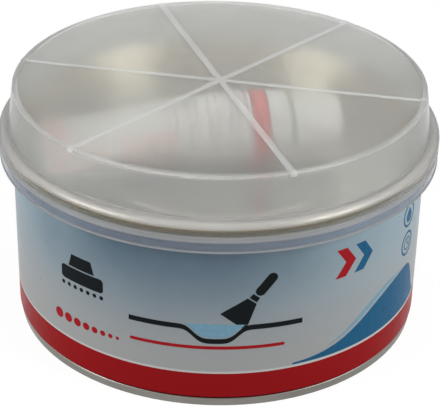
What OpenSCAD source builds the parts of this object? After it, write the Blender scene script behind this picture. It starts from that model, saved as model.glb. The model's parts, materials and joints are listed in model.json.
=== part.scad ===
// Polyester filler tin: a round tinplate lever-lid tin, a tube of hardener lying on its lid,
// and a frosted push-on overcap over both. Millimetres, base on z = 0, front towards -Y.

/* [Tin] */
// Outer diameter of the tin body
body_d = 154; // [130:1:180]
// Height from the base to the top of the rolled rim
tin_h = 76; // [66:1:110]
// Tinplate thickness
plate = 0.3; // [0.2:0.05:0.35]
// Gap left between two layers of folded tinplate
fold_gap = 0.05; // [0.03:0.01:0.1]
// Width of the welded overlap down the back of the body
weld_w = 3; // [1:0.5:6]

/* [Bottom end] */
// How far the body necks in above the bottom seam
neck_in = 1.7; // [1.2:0.1:2.5]
// Height of the bottom seam
seam_h = 3.2; // [2.6:0.1:4.5]
// Height at which the body starts to neck in
neck_z = 4.4; // [4:0.1:6]
// Outer radius of the wider step pressed into the bottom panel
step_r = 62; // [50:1:64]
// Outer radius of the narrower step pressed into the bottom panel
inner_step_r = 34; // [20:1:45]
// Depth of each pressed step
step_h = 0.6; // [0.3:0.1:0.8]

/* [Rolled rim and ring] */
// Radius of the round rolled rim
bead_r = 2.6; // [2.4:0.1:3.2]
// How far the rolled rim's centre lies outside the body's wall
bead_out = 0.4; // [0.3:0.1:0.8]
// Depth of the ring's ledge below the top of the rolled rim
ledge_depth = 9.5; // [8:0.5:11]
// Lean of the ring's wall from the upright
ring_lean = 30; // [0:1:32]
// Width of the ledge between the foot of the ring's wall and its neck
ledge_w = 4.2; // [4.1:0.1:6]
// Length of the ring's neck below the ledge
neck_l = 6.2; // [4.5:0.1:8]
// Radius of the curl at the foot of the neck
curl_r = 0.75; // [0.6:0.05:0.9]

/* [Lever lid] */
// Depth of the lid's panel below the top of the rolled rim
panel_depth = 14.1; // [13:0.1:20]
// Clearance between the lid's plug wall and the neck
plug_gap = 0.1; // [0.05:0.01:0.2]
// Clearance between the lid's curled edge and the ledge
lid_seat_gap = 0.1; // [0.05:0.05:0.3]
// Width of the lid's flange outside its plug wall
flange_w = 3.6; // [3:0.1:3.8]
// Mean radius of the round bead pressed into the lid's panel
lid_bead_r = 50; // [35:1:56]
// Depth of the round bead pressed into the lid's panel
lid_bead_h = 0.8; // [0.3:0.1:1.2]

/* [Filler] */
// Free height between the filler and the lid
headspace = 5.5; // [5:0.5:20]

/* [Hardener tube] */
// Diameter of the tube's round end
tube_d = 28; // [24:1:32]
// Clearance of the tube from the lid below and the overcap above
tube_gap = 0.3; // [0.2:0.05:1]
// Turn of the tube from the left-to-right line, seen from above
tube_turn = 10; // [0:1:30]
// Distance of the tube's axis in front of the tin's middle
tube_front = 11.2; // [0:0.1:14]
// Place of the sleeve's shoulder end along the tube, from the middle of the tin
shoulder_at = 20.8; // [15:0.1:26]
// Length of sleeve that stays round behind the shoulder
round_l = 24; // [15:1:35]
// Wall of the sleeve
sleeve_wall = 0.4; // [0.3:0.05:0.6]
// Length of the flat fold at the tail
fold_l = 6; // [4:0.5:8]
// Thickness of the flat fold at the tail
fold_t = 1.6; // [1.4:0.1:2.4]
// How far the tail sags below the tube's axis
tail_sag = 3; // [0:0.5:3]
// Clearance between the tail's corners and the ring's wall
tail_gap = 0.9; // [0.5:0.1:8]

/* [Tube head and screw cap] */
// Wall of the moulded shoulder
head_wall = 1; // [0.8:0.1:1.4]
// Depth of the shoulder's skirt inside the sleeve
head_skirt = 4; // [3:0.5:6]
// Length of the shoulder's cone
cone_l = 3.8; // [3:0.1:5]
// Length of the threaded neck beyond the cone
spout_l = 12; // [9:0.5:14]
// Radius of the spout's bore
spout_bore = 3; // [2:0.1:4]
// Mean radius of the thread on the spout
thread_r = 6.4; // [6:0.1:7]
// Half the height of the thread
thread_h = 0.4; // [0.3:0.05:0.5]
// Advance of the screw cap in one turn
thread_pitch = 2.5; // [2:0.25:3.5]
// Radial clearance in the thread
thread_gap = 0.3; // [0.2:0.05:0.4]
// Thickness of the foil over the spout
foil_t = 0.15; // [0.1:0.05:0.3]
// Thickness of the sealing disc in the screw cap
liner_t = 1; // [0.6:0.1:1.5]
// Outer diameter of the screw cap
screw_cap_d = 20.6; // [19:0.1:22]
// Thickness of the screw cap's closed end
screw_cap_end = 4.4; // [2:0.1:5]
// Clearance between the screw cap's rim and the cone
screw_cap_gap = 0.5; // [0.3:0.1:1]

/* [Overcap] */
// Wall of the overcap
cap_wall = 1.1; // [0.8:0.1:1.3]
// Clearance of the overcap's shoulder above the rolled rim
cap_seat_gap = 0.15; // [0.1:0.05:0.4]
// Clearance of the snap ridge from the rolled rim
snap_gap = 0.15; // [0.1:0.05:0.3]
// How far the snap ridge stands in from the skirt
snap_h = 0.5; // [0.3:0.1:0.8]
// Height of the snap ridge
snap_w = 2.3; // [1:0.1:3]
// Depth of the skirt's edge below the top of the rolled rim
skirt_drop = 10.1; // [9:0.1:14]
// Radius of the rounding between skirt and shoulder
shoulder_round = 2.85; // [2:0.05:3.2]
// How far the side wall leans in from its foot to the rim
wall_lean = 1.9; // [0.5:0.1:3]
// How far the foot of the side wall stands outside the body's wall
wall_out = 1.2; // [0.8:0.1:1.8]
// Width of the raised rim round the top
rim_w = 2.2; // [1.5:0.1:4]
// Height of the raised rim above the top panel
rim_h = 0.65; // [0.4:0.05:1.2]
// Number of bars across the top
rib_n = 3; // [2:1:5]
// Width of each bar
rib_w = 2.4; // [1:0.1:4]
// Height of each bar above the face that it runs on
rib_h = 0.4; // [0.2:0.05:0.8]
// Direction of the first bar, seen from above
rib_turn = -11; // [-30:1:30]
// How far each bar runs down the side wall
rib_drop = 1.4; // [0.8:0.1:3]

/* [Hidden] */

$fn = 96;
eps = 0.01;
// Straight pieces in each small bend, and in the round rolled rim
bend_steps = 6;
bead_steps = 24;
half_plate = plate / 2;
body_r = body_d / 2;
wall_r = body_r - half_plate;

// Bottom seam: five layers of plate, each one pitch outside the last
layer = plate + fold_gap;
seam_bend = layer;
seam_body_r = wall_r - neck_in;
chuck_r = seam_body_r - layer;
cover_hook_r = seam_body_r + layer;
body_hook_r = seam_body_r + 2 * layer;
seam_wall_r = seam_body_r + 3 * layer;
seam_foot_z = plate + fold_gap + half_plate + seam_bend;
seam_top_z = seam_h - half_plate - seam_bend;
seam_overlap = (seam_top_z - seam_foot_z) * 0.72;
end_panel_z = seam_h + half_plate + fold_gap;
end_bend = 2 * plate;

// Rolled rim, ring and lid
bead_c = [body_r + bead_out, tin_h - bead_r];
bead_mid_r = bead_r - half_plate;
bead_hook_r = bead_mid_r / 4;
bead_hook_from = -60;
flange_bend = 3 * plate + fold_gap;
ring_top = bead_c + bead_mid_r * [-cos(ring_lean), sin(ring_lean)];
ledge_z = tin_h - ledge_depth + half_plate;
neck_r = ring_wall_r(ledge_z) - ledge_w;
ring_bend = 3 * plate;
plug_r = neck_r - plate - plug_gap;
panel_z = tin_h - panel_depth - half_plate;
plug_bend = 4 * plate;
lid_curl_r = 2 * plate;
flange_z = ledge_z + plate + lid_seat_gap + 2 * lid_curl_r;
flange_r = plug_r + flange_w;

// Hardener tube, measured along its own axis from the middle of the tin
tube_r = tube_d / 2;
lid_top = panel_z + half_plate;
tube_z = lid_top + tube_gap + tube_r;
fold_b = fold_t / 2;
tail_w = girth_w(fold_b);
tail_r = ring_wall_r(tube_z - tail_sag) - half_plate / cos(ring_lean) - tail_gap;
tail_at = -sqrt(tail_r * tail_r - pow(tube_front + tail_w, 2));
fold_at = tail_at + fold_l;
round_at = shoulder_at - round_l;
sleeve_power = 1.7;
sleeve_rings = 12;
sleeve_sides = 48;
paste_gap = 0.1;
seam_in = 1.5;

// Tube head and screw cap
head_r = tube_r - sleeve_wall - fold_gap;
cone_at = shoulder_at + cone_l;
cone_top_r = thread_r + thread_h + head_wall;
spout_end = cone_at + spout_l;
spout_r = thread_r - thread_h - eps;
foil_at = spout_end + fold_gap;
liner_at = foil_at + foil_t + fold_gap;
cap_floor = liner_at + liner_t + fold_gap;
screw_cap_from = cone_at + screw_cap_gap;
screw_cap_to = cap_floor + screw_cap_end;
screw_cap_r = screw_cap_d / 2;
screw_bore = thread_r + thread_gap;
thread_sides = 24;
turn_steps = 16;
cap_edge = 0.8;

// Overcap
cap_in_top = tube_z + tube_r + tube_gap;
cap_panel_top = cap_in_top + cap_wall;
rim_top = cap_panel_top + rim_h;
foot_r = body_r + wall_out;
rim_r = foot_r - wall_lean;
bead_out_r = bead_c[0] + bead_r;
snap_r = bead_out_r + snap_gap;
skirt_in_r = snap_r + snap_h;
skirt_r = skirt_in_r + cap_wall;
skirt_z = tin_h - skirt_drop;
seat_z = tin_h + cap_seat_gap;
shoulder_z = seat_z + cap_wall;
snap_z = bead_c[1] - bead_r / 2 - snap_w;
rim_round = 0.8;
foot_round = 0.6;
edge_round = 0.3;

// Radius of the ring's leaning wall at height z
function ring_wall_r(z) = ring_top[0] - (ring_top[1] - z) * tan(ring_lean);

// Half-width of the sleeve where its half-height is b, for an even girth
function girth_w(b) = sqrt(2 * tube_r * tube_r - b * b);

// Points on an arc about c, from angle a to angle b
function arc(c, r, a, b, n = bend_steps) =
    [for (i = [0:n]) let (t = a + (b - a) * i / n) c + r * [cos(t), sin(t)]];

function unit(v) = v / norm(v);
function side(v) = [-v[1], v[0]];

// Mitred offset direction at point i of a path
function mitre(p, i) =
    let (
        last = len(p) - 1,
        a = side(unit(i == 0 ? p[1] - p[0] : p[i] - p[i - 1])),
        b = side(unit(i == last ? p[last] - p[last - 1] : p[i + 1] - p[i])),
        m = unit(a + b)
    ) m / (m * a);

// Outline of a sheet of thickness t whose middle follows the path p
function sheet(p, t) = concat(
    [for (i = [0:len(p) - 1]) p[i] + mitre(p, i) * t / 2],
    [for (i = [len(p) - 1:-1:0]) p[i] - mitre(p, i) * t / 2]);

module turned(p, t) {
    rotate_extrude() polygon(sheet(p, t));
}

// Bottom panel from its bend inwards, with two pressed steps
end_panel = [
    [chuck_r - end_bend, end_panel_z],
    [step_r, end_panel_z],
    [step_r - step_h, end_panel_z - step_h],
    [inner_step_r, end_panel_z - step_h],
    [inner_step_r - step_h, end_panel_z - 2 * step_h],
    [0, end_panel_z - 2 * step_h]];

module tin_body() {
    flange_top = bead_c[1] + bead_r - plate - 2 * fold_gap - half_plate - plate;
    flange_c = [wall_r + flange_bend, flange_top - flange_bend];
    path = concat(
        [[body_hook_r, seam_foot_z + seam_overlap]],
        arc([seam_body_r + seam_bend, seam_foot_z], seam_bend, 0, -180),
        [[seam_body_r, seam_h + half_plate], [wall_r, neck_z]],
        arc(flange_c, flange_bend, 180, 0),
        [[wall_r + 2 * flange_bend, flange_c[1] - bead_r / 2]]);
    weld_top = skirt_z - weld_w;
    color("lightsteelblue") union() {
        turned(path, plate);
        intersection() {
            rotate_extrude()
                translate([wall_r, neck_z + weld_w])
                square([half_plate + fold_gap, weld_top - neck_z - weld_w]);
            translate([-weld_w / 2, 0, 0]) cube([weld_w, body_d, tin_h]);
        }
    }
}

module bottom_end() {
    path = concat(
        [[cover_hook_r, seam_top_z - seam_overlap]],
        arc([cover_hook_r + seam_bend, seam_top_z], seam_bend, 180, 0),
        arc([seam_wall_r - seam_bend, half_plate + seam_bend], seam_bend, 0, -90),
        arc([chuck_r + seam_bend, half_plate + seam_bend], seam_bend, -90, -180),
        arc([chuck_r - end_bend, end_panel_z - end_bend], end_bend, 0, 90),
        [for (i = [1:len(end_panel) - 1]) end_panel[i]]);
    color("silver") turned(path, plate);
}

module bottom_seam_compound() {
    ring_z = seam_foot_z + seam_overlap + fold_gap;
    ring_h = seam_top_z + seam_bend / 2 - half_plate - ring_z;
    color("dimgray") rotate_extrude()
        translate([body_hook_r - half_plate, ring_z]) square([plate, ring_h]);
}

module top_ring() {
    hook_dir = [cos(bead_hook_from), sin(bead_hook_from)];
    hook_c = bead_c + (bead_mid_r - bead_hook_r) * hook_dir;
    curl_c = [neck_r + curl_r, ledge_z - neck_l + curl_r];
    ledge_bend_r = ring_wall_r(ledge_z) - ring_bend * tan((90 - ring_lean) / 2);
    path = concat(
        arc(curl_c, curl_r, 0, -180),
        arc([neck_r + ring_bend, ledge_z - ring_bend], ring_bend, 180, 90),
        arc([ledge_bend_r, ledge_z + ring_bend], ring_bend, -90, -ring_lean),
        arc(bead_c, bead_mid_r, 180 - ring_lean, bead_hook_from, bead_steps),
        [for (i = [1:bend_steps]) arc(hook_c, bead_hook_r, bead_hook_from, -180)[i]],
        [[hook_c[0] - bead_hook_r, bead_c[1]]]);
    color("darkkhaki") turned(path, plate);
}

module top_seam_compound() {
    fill_r = bead_r - plate - fold_gap;
    fill_h = bead_r - 2 * plate - fold_gap;
    fill_w = sqrt(fill_r * fill_r - fill_h * fill_h);
    crown_w = fill_w / 2;
    crown_h = sqrt(fill_r * fill_r - crown_w * crown_w);
    color("dimgray") rotate_extrude() translate(bead_c) polygon([
        [-fill_w, fill_h],
        [fill_w, fill_h],
        [crown_w, crown_h],
        [-crown_w, crown_h]]);
}

module lever_lid() {
    path = concat(
        [[0, panel_z],
            [lid_bead_r - 2 * lid_bead_h, panel_z],
            [lid_bead_r - lid_bead_h, panel_z - lid_bead_h],
            [lid_bead_r + lid_bead_h, panel_z - lid_bead_h],
            [lid_bead_r + 2 * lid_bead_h, panel_z]],
        arc([plug_r - plug_bend, panel_z + plug_bend], plug_bend, -90, 0),
        arc([plug_r + ring_bend, flange_z - ring_bend], ring_bend, 180, 90),
        arc([flange_r, flange_z - lid_curl_r], lid_curl_r, 90, -90),
        [[flange_r - lid_curl_r, flange_z - 2 * lid_curl_r]]);
    color("tan") turned(path, plate);
}

module filler_paste() {
    lift = [0, plate + fold_gap];
    foot_w = chuck_r - end_bend;
    paste_r = wall_r - half_plate - fold_gap;
    paste_top = panel_z - lid_bead_h - half_plate - headspace;
    outline = concat(
        [for (i = [0:len(end_panel) - 1]) end_panel[len(end_panel) - 1 - i] + lift],
        [[foot_w + plate, end_panel_z + plate + 2 * fold_gap],
            [paste_r, neck_z + plate],
            [paste_r, paste_top],
            [0, paste_top]]);
    color("darkseagreen") rotate_extrude() polygon(outline);
}

// Side wall, shoulder and skirt of the overcap as one turned outline
function cap_outline() =
    let (
        shoulder_c = [skirt_r - shoulder_round, shoulder_z - shoulder_round],
        in_round = shoulder_round - cap_wall
    ) concat(
        [[0, cap_panel_top], [rim_r - rim_w, cap_panel_top]],
        arc([rim_r - rim_w + rim_h, cap_panel_top], rim_h, 180, 90),
        arc([rim_r - rim_round, rim_top - rim_round], rim_round, 90, 0),
        arc([foot_r + foot_round, shoulder_z + foot_round], foot_round, 180, 270),
        arc(shoulder_c, shoulder_round, 90, 0),
        arc([skirt_r - edge_round, skirt_z + edge_round], edge_round, 0, -90),
        [[skirt_in_r, skirt_z],
            [skirt_in_r, snap_z],
            [snap_r, snap_z + snap_w / 3],
            [snap_r, snap_z + 2 * snap_w / 3],
            [skirt_in_r, snap_z + snap_w]],
        arc(shoulder_c, in_round, 0, 90),
        [[foot_r - cap_wall, seat_z]],
        arc([rim_r - cap_wall - rim_round, cap_in_top - rim_round], rim_round, 0, 90),
        [[0, cap_in_top]]);

module overcap() {
    rib_top = cap_panel_top + rib_h;
    reach = rim_r + rib_h;
    color("gainsboro") union() {
        rotate_extrude() polygon(cap_outline());
        intersection() {
            rotate_extrude() polygon(concat(
                [[0, cap_panel_top - cap_wall / 2],
                    [0, rib_top],
                    [rim_r - rim_w, rib_top]],
                arc([rim_r - rim_w + rim_h, rib_top], rim_h, 180, 90),
                arc([reach - rim_round, rim_top + rib_h - rim_round], rim_round, 90, 0),
                [[reach, rim_top - rib_drop],
                    [rim_r - cap_wall / 2, rim_top - rib_drop],
                    [rim_r - cap_wall / 2, cap_panel_top - cap_wall / 2]]));
            union() for (i = [0:rib_n - 1])
                rotate(rib_turn + i * 180 / rib_n)
                translate([-reach, -rib_w / 2, cap_in_top])
                cube([2 * reach, rib_w, rim_top + rib_h - cap_in_top]);
        }
    }
}

// Places a shape that stands along +Z on the tube's axis, with its own -X upwards
module along_tube() {
    translate([0, 0, tube_z])
        rotate([0, 0, tube_turn])
        translate([0, -tube_front, 0])
        rotate([0, 90, 0])
        children();
}

// Share of the way from the round part of the sleeve to its flat fold
function flatten(s) = max(0, min(1, (round_at - s) / (round_at - fold_at)));

// One ring of the sleeve at s along its axis, drawn in by an inset
function sleeve_ring(s, inset) =
    let (
        f = flatten(s),
        b = fold_b + (tube_r - fold_b) * (1 - pow(f, sleeve_power)),
        w = girth_w(b),
        drop = tail_sag * f * f
    ) [for (i = [0:sleeve_sides - 1]) let (t = 360 * i / sleeve_sides)
        [drop - (b - inset) * sin(t), (w - inset) * cos(t), s]];

// Rings joined in order into one closed skin
module skin(rings) {
    m = len(rings[0]);
    n = len(rings);
    walls = [for (j = [0:n - 2], i = [0:m - 1]) let (k = (i + 1) % m)
        each [[j * m + i, j * m + k, (j + 1) * m + k], [j * m + i, (j + 1) * m + k, (j + 1) * m + i]]];
    first = [for (i = [m - 1:-1:0]) i];
    last = [for (i = [0:m - 1]) (n - 1) * m + i];
    polyhedron([for (r = rings) each r], concat(walls, [first, last]));
}

// Evenly spaced places along the tube
function stations(from, to) = [for (i = [0:sleeve_rings]) from + (to - from) * i / sleeve_rings];

module tube_sleeve() {
    cavity = [for (s = stations(fold_at + seam_in, shoulder_at)) sleeve_ring(s, sleeve_wall)];
    outside = [for (s = concat([tail_at], stations(fold_at, shoulder_at))) sleeve_ring(s, 0)];
    back = [for (i = [len(outside) - 1:-1:0]) outside[i]];
    color("whitesmoke") along_tube() skin(concat(cavity, back));
}

module spout_thread(grow) {
    turns = (spout_l - head_wall) / thread_pitch;
    translate([0, 0, cone_at])
        linear_extrude(spout_l - head_wall, twist = -360 * turns, slices = ceil(turns * turn_steps),
            $fn = thread_sides)
        translate([thread_h, 0])
        circle(thread_r + grow);
}

module tube_head() {
    skirt_from = shoulder_at - head_skirt;
    color("white") along_tube() difference() {
        union() {
            spout_thread(0);
            rotate_extrude() polygon([
                [head_r, skirt_from],
                [head_r, shoulder_at + fold_gap],
                [tube_r, shoulder_at + fold_gap],
                [tube_r, shoulder_at + head_wall / 2],
                [cone_top_r, cone_at],
                [spout_r, cone_at],
                [spout_r, spout_end],
                [spout_bore, spout_end],
                [spout_bore, cone_at - head_wall],
                [head_r - head_wall, shoulder_at - head_wall],
                [head_r - head_wall, skirt_from]]);
        }
        translate([0, 0, cone_at - head_wall]) cylinder(r = spout_bore, h = spout_l + 2 * head_wall);
    }
}

module tube_foil_seal() {
    color("silver") along_tube() translate([0, 0, foil_at]) cylinder(r = spout_r, h = foil_t);
}

module hardener_paste() {
    skirt_from = shoulder_at - head_skirt;
    inset = sleeve_wall + paste_gap;
    bowl_r = head_r - head_wall - paste_gap;
    color("firebrick") along_tube() union() {
        skin([for (s = stations(skirt_from - paste_gap, fold_at + 2 * seam_in)) sleeve_ring(s, inset)]);
        rotate_extrude() polygon([
            [0, skirt_from - head_skirt],
            [bowl_r, skirt_from - head_skirt],
            [bowl_r, shoulder_at - head_wall - paste_gap],
            [spout_bore - paste_gap, cone_at - head_wall - paste_gap],
            [spout_bore - paste_gap, spout_end],
            [0, spout_end]]);
    }
}

module screw_cap() {
    color("white") along_tube() difference() {
        rotate_extrude() polygon([
            [0, screw_cap_from],
            [screw_cap_r, screw_cap_from],
            [screw_cap_r, screw_cap_to - cap_edge],
            [screw_cap_r - cap_edge, screw_cap_to],
            [0, screw_cap_to]]);
        spout_thread(thread_gap);
        translate([0, 0, cone_at + spout_l - 2 * head_wall])
            cylinder(r = screw_bore + thread_h, h = cap_floor - spout_end + 2 * head_wall);
    }
}

module cap_liner() {
    color("ivory") along_tube() translate([0, 0, liner_at]) cylinder(r = screw_bore, h = liner_t);
}

tin_body();
bottom_end();
bottom_seam_compound();
top_ring();
top_seam_compound();
lever_lid();
filler_paste();
overcap();
tube_sleeve();
tube_head();
tube_foil_seal();
hardener_paste();
screw_cap();
cap_liner();
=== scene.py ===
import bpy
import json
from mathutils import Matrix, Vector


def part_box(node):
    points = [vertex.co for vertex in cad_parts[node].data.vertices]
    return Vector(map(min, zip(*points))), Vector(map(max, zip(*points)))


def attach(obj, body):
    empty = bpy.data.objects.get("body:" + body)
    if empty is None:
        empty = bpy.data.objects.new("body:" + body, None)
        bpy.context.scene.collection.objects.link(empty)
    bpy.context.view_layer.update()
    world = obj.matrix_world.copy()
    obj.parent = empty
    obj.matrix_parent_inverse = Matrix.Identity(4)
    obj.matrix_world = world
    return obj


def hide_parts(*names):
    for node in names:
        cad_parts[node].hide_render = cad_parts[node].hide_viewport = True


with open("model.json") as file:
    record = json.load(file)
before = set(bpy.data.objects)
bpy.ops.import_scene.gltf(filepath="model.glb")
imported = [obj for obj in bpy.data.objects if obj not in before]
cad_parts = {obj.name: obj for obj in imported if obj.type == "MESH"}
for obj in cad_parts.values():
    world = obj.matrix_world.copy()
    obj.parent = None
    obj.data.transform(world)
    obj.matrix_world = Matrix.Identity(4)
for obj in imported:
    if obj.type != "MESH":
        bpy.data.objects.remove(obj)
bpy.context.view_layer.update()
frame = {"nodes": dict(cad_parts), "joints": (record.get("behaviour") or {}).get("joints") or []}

import json
import math
from functools import partial

import bmesh
import bpy
from bpy.props import FloatProperty, FloatVectorProperty, IntProperty, PointerProperty
from mathutils import Matrix, Vector

bl_info = {
    "name": "Filler Tin Dresser",
    "version": (1, 0, 0),
    "blender": (4, 5, 0),
    "location": "View3D > Sidebar > Filler Tin",
    "description": "Finishes the parts of a round filler tin: print, metal, overcap, hardener tube and stage",
    "category": "Object",
}

MM = 0.001
# Angle between two faces above which their edge stays sharp
CREASE = math.radians(38)
# Gloss of the clear lacquer over the print
LACQUER_GLOSS = 0.022

# Overcap as in the solids, in millimetres
CAP_TOP, CAP_FOOT, CAP_WALL = 91.6, 65.9, 1.1
RIM_R, RIM_W, RIM_H, RIM_ROUND = 76.3, 2.2, 0.65, 0.8
WALL_FOOT_R, WALL_FOOT_ROUND = 78.2, 0.6
STEP_Z, STEP_ROUND = 77.25, 2.85
SKIRT_R, SKIRT_EDGE = 81.75, 0.3
SNAP_FOOT, SNAP_W, SNAP_H = 69.8, 2.3, 0.5
# What follows from them: the rim's inside and bead, the wall's corner, the skirt's inside and its edges
RIM_IN = RIM_R - RIM_W
BEAD_R = RIM_IN + RIM_H
CORNER_R, CORNER_Z = RIM_R - RIM_ROUND, CAP_TOP + RIM_H - RIM_ROUND
SKIRT_IN, SNAP_TOP, EDGE_TOP = SKIRT_R - CAP_WALL, SNAP_FOOT + SNAP_W, CAP_FOOT + 2 * SKIRT_EDGE
# Its plastic, zone by zone: tint, clearness, frost and brightness at glancing sides. Painted light in it: the
# shoulder's paler tint is a painted highlight, the neck's warm dark tint is painted shade on the rolled rim
# behind it, the skirt's blue tint is a painted reflection of the print behind it, and the darkening at
# glancing sides is partly painted shade.
OVERCAP_ZONES = {
    "frosted_top": ((0.845, 0.853, 0.832), 0.87, 0.30, 1.0),
    "frosted_wall": ((0.77, 0.775, 0.755), 0.62, 0.22, 0.64),
    "frosted_shoulder": ((0.88, 0.88, 0.87), 0.74, 0.40, 0.5),
    "smooth_skirt": ((0.70, 0.72, 0.78), 0.90, 0.22, 0.5),
    "milky_ridge": ((0.62, 0.62, 0.62), 0.50, 0.30, 0.5),
    "smooth_neck": ((0.80, 0.76, 0.66), 0.90, 0.22, 0.5),
    "frosted_rim": ((0.80, 0.81, 0.79), 0.60, 0.30, 1.0),
    "frosted_bar": ((0.90, 0.91, 0.90), 0.46, 0.30, 1.0),
}

# Hardener tube as in the solids: its axis is that of the screw cap's hinge
CAP_HINGE = next(joint for joint in frame["joints"] if joint["name"] == "cap_turn")
TUBE_POINT = Vector(CAP_HINGE["pos_m"])
TUBE_TURN = math.atan2(CAP_HINGE["axis"][1], CAP_HINGE["axis"][0])
TUBE_FRAME = Matrix.Translation(TUBE_POINT) @ Matrix.Rotation(TUBE_TURN, 4, "Z")
# Places along that axis and sizes across it, in millimetres
TAIL, FOLD, ROUND, SHOULDER = -66.5, -60.5, -3.2, 20.8
CONE, SPOUT_END, SCREW_CAP_TO = 24.6, 36.6, 42.3
SCREW_CAP_FROM, SCREW_CAP_R = CONE + 0.5, 10.3
SLEEVE_R, SLEEVE_WALL, SLEEVE_POWER = 14.0, 0.4, 1.7
FOLD_HALF, TAIL_SAG, SEAL_L = 0.8, 3.0, 1.5
HEAD_WALL, HEAD_SKIRT, HEAD_GAP, SPOUT_BORE, PASTE_GAP = 1.0, 4.0, 0.05, 3.0, 0.1


def number(name, text, value, **kind):
    """Property for one number."""
    return FloatProperty(name=name, description=text, default=value, **kind)


def triple(name, text, value, **kind):
    """Property for three numbers."""
    return FloatVectorProperty(name=name, description=text, default=value, size=3, **kind)


def angle(name, text, degrees):
    """Property for an angle."""
    return number(name, text, math.radians(degrees), subtype="ANGLE")


length = partial(number, unit="LENGTH", precision=5)
share = partial(number, subtype="FACTOR", min=0, max=1)
power = partial(number, subtype="POWER")
colour = partial(triple, subtype="COLOR", min=0, max=1)
point = partial(triple, subtype="TRANSLATION", precision=6)


class PrintLook(bpy.types.PropertyGroup):
    body_r: length("Body radius", "Outside of the printed wall", 0.077)
    band_top: length("Band top", "Top of the red foot band", 0.01428)
    line_w: length("Line width", "Width of the pale line over the foot band", 0.0009)
    fade_from: length("Fade foot", "Height where the grey starts to turn blue", 0.016)
    fade_to: length("Fade top", "Height where the blue is deepest", 0.070)
    sky: colour("Sky", "Blue at the top of the wall", (0.107, 0.163, 0.224))
    # Painted sheen: shifting the deepest blue to the left pales the wall's right side; the pale dawn at the
    # sides is partly painted sheen as well.
    deep_x_painted_sheen: length("Deepest blue", "How far right of the front the blue is deepest", -0.016)
    dawn: colour("Dawn", "Pale blue at the top of the wall's sides", (0.398, 0.523, 0.588))
    haze: colour("Haze", "Pale grey at the foot of the wall", (0.423, 0.432, 0.432))
    foot: colour("Foot band", "Red of the foot band", (0.345, 0.0098, 0.0125))
    line: colour("Pale line", "Line over the foot band", (0.62, 0.62, 0.605))
    dark: colour("Dark ink", "Charcoal of the pictures", (0.012, 0.015, 0.017))
    blue: colour("Blue ink", "Deep blue of the wave and the rings", (0.022, 0.13, 0.26))
    mist: colour("Mist ink", "Light blue of the upper wave", (0.22, 0.42, 0.55))
    red: colour("Red ink", "Red of the chevrons and grains", (0.42, 0.015, 0.022))
    white: colour("White ink", "White of the step panel", (0.68, 0.69, 0.69))
    ink_t: length("Ink thickness", "How far the print stands out", 0.00003)
    over_ink_t: length("Over-ink thickness", "The same for ink on the step panel", 0.000045)
    weld_turn: angle("Weld turn", "Place of the side weld round the tin", 180)
    work_turn: angle("Work turn", "Turn from the work picture to its copy", 254)
    wave_turn: angle("Wave turn", "Turn from the wave to its copy", 98.5)
    weld_w: length("Weld width", "Unprinted strip along the side weld", 0.006)


class MetalLook(bpy.types.PropertyGroup):
    bare: colour("Bare tinplate", "Bottom end and weld strip", (0.25, 0.24, 0.22))
    gold: colour("Gold lacquer", "Lid", (0.62, 0.59, 0.52))
    # The ring's two tones on one lacquer are painted light: the paler rim is a painted highlight, the deeper
    # inner wall painted shade.
    rim: colour("Rim lacquer", "Paler lacquer on the rolled rim", (0.60, 0.56, 0.49))
    wall: colour("Wall lacquer", "Deeper lacquer on the ring's leaning inner wall", (0.53, 0.45, 0.34))
    wall_r: length("Wall radius", "Outside of the deeper lacquer", 0.0735)
    # Painted shade: where the rim rolls under, it is darkened to a dull bronze; the next two values bound
    # that shade.
    rim_shade: colour("Rim shade", "Dull bronze where the rim rolls under", (0.13, 0.115, 0.075))
    rim_mid: length("Rim middle", "Height where that shade starts", 0.0742)
    rim_r: length("Rim radius", "Inside of the shade under the rim", 0.0774)
    bare_rough: share("Bare roughness", "Polish of the bottom end", 0.34)
    lid_rough: share("Lid roughness", "Polish of the lid", 0.12)
    ring_rough: share("Ring roughness", "Polish of the ring", 0.30)
    lacquer: share("Lacquer", "Clear lacquer over the ring and the lid", 0.3)
    compound: colour("Compound", "Sealing compound in the seams", (0.05, 0.05, 0.055))


def zone_looks():
    """Properties of each zone of the overcap."""
    looks = {}
    for zone, (tint, clear, frost, edge) in OVERCAP_ZONES.items():
        word = zone.replace("_", " ").capitalize()
        looks[zone + "_tint"] = colour(word + " tint", "Colour of the plastic", tint)
        looks[zone + "_clear"] = share(word + " clearness", "How much light passes through it", clear)
        looks[zone + "_frost"] = share(word + " frost", "How far things behind it blur", frost)
        # The brightness at glancing sides is partly painted shade.
        looks[zone + "_edge"] = share(word + " edge", "How bright it is at its glancing sides", edge)
    return looks


class OvercapLook(bpy.types.PropertyGroup):
    wall_from: length("Wall foot", "Height where the frosted wall starts", 0.0774)
    wall_to: length("Wall top", "Height where the frosted wall ends", 0.0904)
    skirt_top: length("Skirt top", "Height where the shoulder starts", 0.07475)
    bar_turn: angle("Bar turn", "Direction of the first bar, seen from above", -11)
    bar_w: length("Bar width", "Width of a bar across the top", 0.0024)
    bar_h: length("Bar height", "How far a bar stands out of the top", 0.0004)
    bar_skin: length("Bar skin", "How far a bar stands out over the rim", 0.0002)
    __annotations__.update(zone_looks())


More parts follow.
